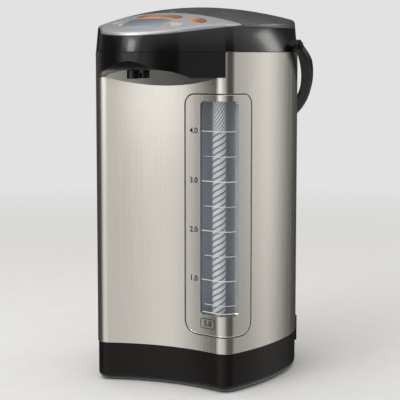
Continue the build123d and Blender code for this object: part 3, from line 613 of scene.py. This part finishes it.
def display_lens():
    """Grey-blue liquid crystal under a glossy lens, with painted shade: darker towards the rear."""
    look = Shader("lcd_glass", 0.12, coat=0.5, coat_roughness=0.04)
    # painted shade: the display's colour darkens towards the rear
    far = look.along(Y, -0.135, -0.103)
    painted_shading_tones = ((0.0, (0.36, 0.43, 0.49)), (1.0, (0.25, 0.32, 0.38)))
    look.colour(look.ramp(look.waver(far, look.noise(90.0), 0.2), painted_shading_tones))
    look.relief(look.noise(2600.0, detail=1.0), 0.000005, 0.1, edge=0.0003)
    return look.material


def clear_pane():
    """Tinted clear pane, faintly streaked."""
    look = Shader("clear_pane", 0.07, alpha=0.1)
    look.colour(look.mottle(look.noise(400.0, (1, 1, 0.02)), (0.34, 0.37, 0.42), (0.42, 0.45, 0.49)))
    look.relief(look.noise(60.0), 0.00002, 0.05)
    return look.material


def gloss_shell():
    """Near-black gloss plastic, its upper band shaded as slightly crowned, its downward faces given less
    specular as painted shade.
    """
    look = Shader("black_shell", 0.19)
    broad = look.noise(35.0)
    look.colour(look.mottle(broad, (0.0040, 0.0040, 0.0043), (0.0052, 0.0051, 0.0055)))
    look.rough(broad, 0.17, 0.21)
    facing = look.part(look.add("ShaderNodeNewGeometry").outputs["Normal"], Z)
    # painted shade: faces that look down get less specular, so the undersides read dark
    specular = look.map_range(facing, -0.5, -0.05, 0.06, 0.5)
    look.link(specular, look.principled.inputs["Specular IOR Level"])
    over = look.maths("SUBTRACT", look.axis(Z), (CROWN_START_Z - FLOOR_Z) / 1000)
    above = look.maths("MAXIMUM", over, 0.0)
    crown = look.maths("MULTIPLY", look.maths("MULTIPLY", above, above), -0.5 / (CROWN_R / 1000))
    look.relief(crown, 1.0, 1.0, edge=BEVEL_R)
    return look.material


def bay_silver():
    """Silver slope behind the spout, with painted shade: brightest near its left end and darker towards the
    right, where the nose's shade falls.
    """
    look = Shader("bay_silver", 0.38, 0.9)
    lines = look.noise(900.0, UPRIGHT)
    across = look.along(X, -0.085, 0.060)
    # painted shade: the silver's brightness along the slope, from left to right
    painted_shade_levels = ((0.05, 0.20), (0.20, 0.44), (0.36, 0.32), (0.58, 0.16), (0.95, 0.07))
    painted_shading_tones = [(at, shade((1.0, 0.98, 0.94), level)) for at, level in painted_shade_levels]
    look.colour(look.ramp(look.waver(across, lines, 0.06), painted_shading_tones))
    look.relief(lines, 0.00003, 0.12, edge=0.0003)
    return look.material


MATERIALS = {
    "steel_shell": brushed("steel_shell", (0.80, 0.772, 0.725)),
    "bay_silver": bay_silver(),
    "black_shell": gloss_shell(),
    "base_black": moulded("base_black", (0.0065, 0.0050, 0.0046), 0.36, 1500.0, 0.00003, specular=0.25),
    "panel_silver": silver_paint("panel_silver", (0.56, 0.575, 0.60), 0.42),
    "lid_grey": moulded("lid_grey", (0.082, 0.089, 0.098), 0.28, 800.0, 0.00001, vary=0.05, coat=0.08),
    "lcd_glass": display_lens(),
    "orange_key": key_with_painted_highlight("orange_key", (0.86, 0.34, 0.10), (0.50, 0.15, 0.06), 0.0, 24.0),
    "pale_key": key_with_painted_highlight("pale_key", (0.80, 0.80, 0.79), (0.60, 0.61, 0.62), 0.0, 50.0),
    "clear_pane": clear_pane(),
    "gauge_glass": gauge_stripes(),
    "gauge_backing": gauge_recess(),
    "stainless": brushed("stainless", (0.68, 0.68, 0.67)),
    "pin_steel": brushed("pin_steel", (0.60, 0.60, 0.60), 0.22, 1500.0),
    "inner_plastic": moulded("inner_plastic", (0.20, 0.20, 0.21), 0.5),
    "rubber": moulded("rubber", (0.025, 0.025, 0.026), 0.75, 900.0, 0.00006),
    "seal_silicone": moulded("seal_silicone", (0.45, 0.46, 0.46), 0.55),
    "heater_mica": moulded("heater_mica", (0.32, 0.28, 0.20), 0.5, 300.0, 0.00006, vary=0.25),
    "board_green": moulded("board_green", (0.03, 0.16, 0.07), 0.35),
    "harness_grey": brushed("harness_grey", (0.30, 0.31, 0.33), 0.5, 1200.0, contrast=0.2, metallic=0.0),
    "magnet_iron": brushed("magnet_iron", (0.20, 0.20, 0.20), 0.4),
}
DISPENSE_ORANGE = key_with_painted_highlight("dispense_orange", (0.88, 0.40, 0.14), (0.36, 0.11, 0.05), 38.0, 13.0)
HANDLE_BLACK = moulded("handle_black", (0.004, 0.004, 0.004), 0.33, 900.0, 0.00002, specular=0.22)
OWN_MATERIALS = {
    "dispense_button": DISPENSE_ORANGE,
    "handle": HANDLE_BLACK,
    "handle_pins": HANDLE_BLACK,
}
for row in frame["record"]["subparts"]:
    material = OWN_MATERIALS.get(row["node"], MATERIALS[row["material_slot"]])
    NODES[row["node"]].material_slots[0].material = material

PRINT_WHITE = moulded("print_white", (0.80, 0.84, 0.86), 0.35)
PRINT_DARK = moulded("print_dark", (0.018, 0.017, 0.016), 0.5, specular=0.2)
PRINT_GREY = moulded("print_grey", (0.16, 0.155, 0.15), 0.45)
PRINT_PEACH = moulded("print_peach", (0.62, 0.32, 0.20), 0.3)
# dark joints of the seams, and painted shade in the bezel's groove
DARK_JOINT_AND_SHADE = moulded("dark_joint_and_shade", (0.030, 0.026, 0.022), 0.5)
GAP_DARK = moulded("gap_dark", (0.003, 0.003, 0.003), 0.9, specular=0.05)
LINING_GREY = moulded("lining_grey", (0.175, 0.19, 0.205), 0.6, specular=0.2)
END_GREY = moulded("end_grey", (0.40, 0.42, 0.45), 0.6, specular=0.2)
# painted highlight: a lighter copy of the body's steel, for the bead on the bezel's edge
PAINTED_HIGHLIGHT_STEEL = brushed("painted_highlight_steel", (0.88, 0.86, 0.82), 0.22)


# ---------------------------------------------------------------- water gauge
def gauge_marks():
    """White lines on the pane: a long one for each whole litre, a short one between, one at the foot."""
    verts, faces = [], []
    left, right = along_face(WINDOW_X), along_side(WINDOW_Y)
    for i in range(MARKS):
        whole = i % 2 == 1
        start, half = (left + 1.8, 0.42) if whole else (left + 5.6, 0.3)
        raised_mark(verts, faces, start, right - 2.2, FIRST_MARK_Z + HALF_LITRE * i, half)
    raised_mark(verts, faces, left + 2.5, right - 3.0, WINDOW_Z[0] + FOOT_MARK_RISE, 0.4)
    piece("gauge_marks", verts, faces, PRINT_WHITE, "pale_key")


def gauge_figures():
    """Litres beside the long lines, and the pot's litres in the box below."""
    verts, faces = [], []
    for litre in range(1, MARKS // 2 + 1):
        z = FIRST_MARK_Z + HALF_LITRE * (2 * litre - 1)
        add_wall_text(verts, faces, f"{litre}.0", along_face(FIGURE_X), z, FIGURE_HEIGHT)
    add_wall_text(verts, faces, "5.0", BOX_S, BOX_Z, BOX_FIGURE_HEIGHT)
    piece("gauge_figures", verts, faces, PRINT_DARK, "black_shell", smooth=False)


def gauge_box():
    """Plain line round the figure below the gauge."""
    corners = rectangle(BOX_S - BOX_HALF_S, BOX_S + BOX_HALF_S, BOX_Z - BOX_HALF_Z, BOX_Z + BOX_HALF_Z)
    half, top, foot = BOX_LINE_HALF, -0.08, -0.25
    profile = [(-half, foot), (-half, top), (half, top), (half, foot)]
    sweep_on_wall("gauge_box", rounded_polygon(corners, BOX_CORNER_R), profile, PRINT_DARK, "black_shell")


def bezel_lines():
    """Dark strip in the groove round the bezel as painted shade, and a bead on the bezel's own edge, its
    steel painted lighter as a highlight.
    """
    # the loop is the edge of the steel's opening, a groove's width outside the bezel
    loop = rounded_loop(BEZEL_X, BEZEL_Y, *BEZEL_Z, BEZEL_R_TOP, BEZEL_R_BOTTOM)
    # painted shade: a dark strip sunk in the groove, where the groove's shade falls
    groove_shade = [
        (-0.05, -0.9), (-0.05, -0.16), (-0.3, -0.08),
        (-GROOVE + 0.3, -0.08), (-GROOVE + 0.05, -0.16), (-GROOVE + 0.05, -0.9),
    ]
    # the bead is real; its lighter steel is a painted highlight
    bead = [
        (-GROOVE - 0.1, -0.4), (-GROOVE - 0.15, -0.02), (-GROOVE - 0.4, 0.12),
        (-GROOVE - 0.7, 0.02), (-GROOVE - 0.8, -0.4),
    ]
    sweep_on_wall("gauge_groove_shade", loop, groove_shade, DARK_JOINT_AND_SHADE, "black_shell")
    sweep_on_wall("gauge_edge_bead", loop, bead, PAINTED_HIGHLIGHT_STEEL, "steel_shell")


def window_linings():
    """Grey lining of the window's opening, and the flat face at its right end."""
    loop = rounded_loop(WINDOW_X, WINDOW_Y, *WINDOW_Z, WINDOW_CORNER_R, WINDOW_CORNER_R)
    lining = [(-0.05, -0.5), (-0.25, -0.5), (-0.25, -3.1), (-0.05, -3.1)]
    sweep_on_wall("window_lining", loop, lining, LINING_GREY, "gauge_backing")
    heights = (WINDOW_Z[0] + 1.5, WINDOW_Z[1] - 1.5)
    ribbon("window_end", opening_end, OPENING_END_X, heights, (-0.3, -0.08), END_GREY, "gauge_backing")


gauge_marks()
gauge_figures()
gauge_box()
bezel_lines()
window_linings()

# ---------------------------------------------------------------- control panel prints
SPOT_LIFT, LINE_LIFT = 0.10, 0.08  # above the dome
for name, outline, material, slot in (
    ("reboil_spot", oval(27.5, -159.8, 3.2, 5.2), PRINT_PEACH, "orange_key"),
    ("timer_spot", oval(-32.0, -161.5, 3.0, 2.4), PRINT_PEACH, "orange_key"),
    ("front_spot", oval(-18.5, -171.2, 3.2, 1.9), PRINT_PEACH, "orange_key"),
    # painted highlight: a white spot at the left edge of the display
    ("painted_highlight_spot", oval(-25.6, -154.5, 1.6, 3.2), PRINT_WHITE, "pale_key"),
):
    dome_patch(name, outline, SPOT_LIFT, material, slot)
front_line = rounded_polygon(rectangle(-8, 22, -177.6, -176.8), 0.3, steps=2)
dome_patch("front_line", front_line, LINE_LIFT, PRINT_GREY, "black_shell", rings=2)

# ---------------------------------------------------------------- seams between the shells
HALF_STEPS, NOSE_HALF_STEPS = 120, 60
all_round = [HALF_ROUND * (i / HALF_STEPS - 1) for i in range(2 * HALF_STEPS + 1)]
nose_round = [i / NOSE_HALF_STEPS - 1 for i in range(2 * NOSE_HALF_STEPS + 1)]
shoulder_heights = (STEEL_TOP - 0.45, STEEL_TOP + 0.35)
base_heights = (BASE_TOP - 0.5, BASE_TOP - 0.02)
nose_heights = (STEEL_TOP - 0.5, STEEL_TOP + 0.1)
ribbon("shoulder_seam", wall, all_round, shoulder_heights, (-0.6, 0.04), DARK_JOINT_AND_SHADE, "black_shell")
ribbon("base_seam", wall, all_round, base_heights, (-1.4, -0.72), DARK_JOINT_AND_SHADE, "base_black")
ribbon("nose_seam", nose, nose_round, nose_heights, (-1.0, -0.5), GAP_DARK, "black_shell")

# ---------------------------------------------------------------- camera, fitted to the photograph's lines
CAMERA = (538.0, -1247.0, 347.65)  # mm about the container's axis
YAW, PITCH = math.radians(23.547), math.radians(5.907)
FOCAL_PX, PHOTO_PX = 1206.7, 400
SENSOR = 36.0

scene = bpy.context.scene
camera_data = bpy.data.cameras.new("camera")
camera = bpy.data.objects.new("camera", camera_data)
scene.collection.objects.link(camera)
camera.location = metres(*CAMERA)
camera.rotation_euler = (math.pi / 2 - PITCH, 0.0, YAW)
camera_data.sensor_width = SENSOR
camera_data.lens = SENSOR * FOCAL_PX / PHOTO_PX
camera_data.shift_y = -0.05
camera_data.clip_start = 0.05
camera_data.clip_end = 60.0
scene.camera = camera


# ---------------------------------------------------------------- lamps
def softbox(name, azimuth, elevation, distance, width, height, radiance, aim_z):
    """Soft lamp round the pot: azimuth 0 is straight in front, positive to the right."""
    data = bpy.data.lights.new(name, "AREA")
    data.shape = "RECTANGLE"
    data.size = width
    data.size_y = height
    data.energy = radiance * math.pi * width * height
    data.color = (1.0, 0.985, 0.965)
    lamp = bpy.data.objects.new(name, data)
    turn, rise = math.radians(azimuth), math.radians(elevation)
    level = math.cos(rise)
    direction = Vector((math.sin(turn) * level, -math.cos(turn) * level, math.sin(rise)))
    lamp.location = direction * distance
    lamp.location.z += aim_z
    toward = Vector((0, 0, aim_z)) - lamp.location
    lamp.rotation_mode = "QUATERNION"
    lamp.rotation_quaternion = toward.to_track_quat("-Z", "Y")
    lamp.visible_camera = False
    scene.collection.objects.link(lamp)


# degrees round and up, metres away, wide and high, then radiance and the height aimed at
LAMPS = (
    ("key", -20, 16, 1.5, 1.0, 0.9, 0.45, 0.2),
    ("key_strip", -19, 26, 1.5, 0.38, 0.45, 5.8, 0.35),
    ("front_high", -22, 44, 1.7, 1.0, 0.8, 1.5, 0.2),
    ("top", -30, 74, 1.7, 1.6, 1.4, 0.8, 0.2),
    ("right", 138, 19, 1.6, 0.34, 0.56, 3.6, 0.35),
)
for lamp_values in LAMPS:
    softbox(*lamp_values)


# ---------------------------------------------------------------- world
def warm(level):
    """The light's colour, a little warmer than grey."""
    return (level, level * 0.985, level * 0.955)


# brightness of the studio that lights matt surfaces, from below the floor to overhead
OVERHEAD = ((0.0, 0.62), (0.30, 0.44), (0.50, 0.34), (0.72, 0.42), (1.0, 0.80))
BACKGROUND = 0.76


def studio_world():
    """Pale background for camera, glossy and transmission rays, and a soft sky for diffuse ones."""
    world = bpy.data.worlds.new("studio")
    scene.world = world
    world.use_nodes = True
    nodes = Nodes(world.node_tree)
    rise = nodes.part(nodes.add("ShaderNodeTexCoord").outputs["Generated"], Z)
    height = nodes.maths("ADD", nodes.maths("MULTIPLY", rise, 0.5), 0.5)
    sky = nodes.add("ShaderNodeBackground")
    nodes.link(nodes.ramp(height, [(at, warm(level)) for at, level in OVERHEAD]), sky.inputs["Color"])
    pale = nodes.add("ShaderNodeBackground")
    nodes.feed(pale.inputs["Color"], (BACKGROUND, BACKGROUND, BACKGROUND))
    path = nodes.add("ShaderNodeLightPath")
    mirrored = nodes.maths("MAXIMUM", path.outputs["Is Glossy Ray"], path.outputs["Is Transmission Ray"])
    seen = nodes.maths("MAXIMUM", path.outputs["Is Camera Ray"], mirrored)
    output = nodes.add("ShaderNodeOutputWorld")
    nodes.link(nodes.mix_shaders(seen, sky.outputs[0], pale.outputs[0]), output.inputs["Surface"])


studio_world()

# ---------------------------------------------------------------- panels and flats that the gloss mirrors
# brightness round the pot, by degrees from straight in front and positive to the right
AROUND = (
    (-180, 0.04), (-130, 0.08), (-100, 0.05), (-66, 0.04), (-58, 0.06), (-51, 0.24), (-43, 0.54),
    (-32, 0.78), (-22, 0.80), (-12, 0.74), (-3, 0.63), (7, 0.61), (14, 0.64), (24, 0.42), (36, 0.16),
    (48, 0.06), (88, 0.06), (100, 0.38), (110, 0.54), (117, 0.60), (123, 0.74), (130, 1.00),
    (135, 0.94), (141, 0.68), (146, 0.46), (152, 0.20), (158, 0.05), (180, 0.04),
)
LEVEL = 0.96  # share of that brightness that the panels show
LOW_LEVEL = 0.97  # the same near the floor, in front and on the left
LOW_SIDE = 0.64  # the same near the floor, right of the pot and behind it
PANELS_R = 8.0  # metres
LOW_HEIGHTS = (-0.22, -0.06)  # where the low levels pass into the first one, in shares of PANELS_R
FADE_BELOW = (-0.56, -0.30)  # where the ring fades in from below, in the same shares
FADE_ABOVE = (0.46, 0.80)  # where it fades out again
PANELS_FIRST, PANELS_STEP, PANELS_ROWS = -36, 5, 19  # degrees up
PANELS_COLUMNS = 72


def panels_material():
    """Glow that follows AROUND and turns clear towards the ring's edges."""
    look = Material("panels")
    turn = look.maths("ARCTAN2", look.axis(X), look.maths("MULTIPLY", look.axis(Y), -1.0))
    share = look.maths("ADD", look.maths("DIVIDE", turn, 2 * math.pi), 0.5)
    height = look.maths("DIVIDE", look.axis(Z), PANELS_R)
    low_stops, stops = [], []
    for degrees, brightness in AROUND:
        place = (degrees + 180) / 360
        low_stops.append((place, warm(brightness * (LOW_SIDE if degrees > 90 else LOW_LEVEL))))
        stops.append((place, warm(brightness * LEVEL)))
    low, level = look.ramp(share, low_stops), look.ramp(share, stops)
    glow = look.add("ShaderNodeEmission")
    look.link(look.mix(look.map_range(height, *LOW_HEIGHTS, 0.0, 1.0), low, level), glow.inputs["Color"])
    clear = look.add("ShaderNodeBsdfTransparent")
    up = look.map_range(height, *FADE_BELOW, 0.0, 1.0)
    down = look.map_range(height, *FADE_ABOVE, 1.0, 0.0)
    look.surface(look.mix_shaders(look.maths("MINIMUM", up, down), clear.outputs[0], glow.outputs[0]))
    look.material.cycles.emission_sampling = "NONE"
    return look.material


def stage_mesh(name, verts, faces, material):
    """A piece of the studio, which isn't part of the object."""
    mesh = bpy.data.meshes.new(name)
    mesh.from_pydata(verts, [], faces)
    mesh.materials.append(material)
    obj = bpy.data.objects.new(name, mesh)
    scene.collection.objects.link(obj)
    return obj


def panels():
    """Ring of soft light panels and dark flats, open above and below, that only glossy rays see."""
    verts = []
    for row in range(PANELS_ROWS):
        rise = math.radians(PANELS_FIRST + PANELS_STEP * row)
        radius, z = PANELS_R * math.cos(rise), PANELS_R * math.sin(rise)
        for turn in full_turn(PANELS_COLUMNS):
            verts.append((radius * math.cos(turn), radius * math.sin(turn), z))
    ring = stage_mesh("panels", verts, band_faces(PANELS_ROWS, PANELS_COLUMNS), panels_material())
    ring.visible_camera = False
    ring.visible_diffuse = False
    ring.visible_transmission = False
    ring.visible_shadow = False


panels()

# ---------------------------------------------------------------- floor
FLOOR_R = 2.0  # metres, as are the next two
FLOOR_FADE = (0.7, 1.9)
FLOOR_DROP = -0.0002  # keeps the floor clear of the feet
FLOOR_SIDES = 96


def floor_material():
    """Pale matt grey that turns clear away from the pot."""
    look = Shader("floor", 0.8, specular=0.1)
    look.colour(look.mottle(look.noise(40.0), (0.90, 0.90, 0.90), (0.92, 0.92, 0.92)))
    away = look.add("ShaderNodeVectorMath", operation="LENGTH")
    look.link(look.place, away.inputs[0])
    fade = look.map_range(away.outputs["Value"], *FLOOR_FADE, 0.0, 1.0)
    clear = look.add("ShaderNodeBsdfTransparent")
    look.surface(look.mix_shaders(fade, look.principled.outputs[0], clear.outputs[0]))
    return look.material


def floor():
    """Pale floor that fades into the background and that gloss doesn't mirror."""
    verts = [(0, 0, FLOOR_DROP)]
    for turn in full_turn(FLOOR_SIDES):
        verts.append((FLOOR_R * math.cos(turn), FLOOR_R * math.sin(turn), FLOOR_DROP))
    disc = stage_mesh("floor", verts, fan_faces(FLOOR_SIDES), floor_material())
    disc.visible_glossy = False


floor()
scene.view_settings.view_transform = "Standard"

bpy.context.view_layer.update()
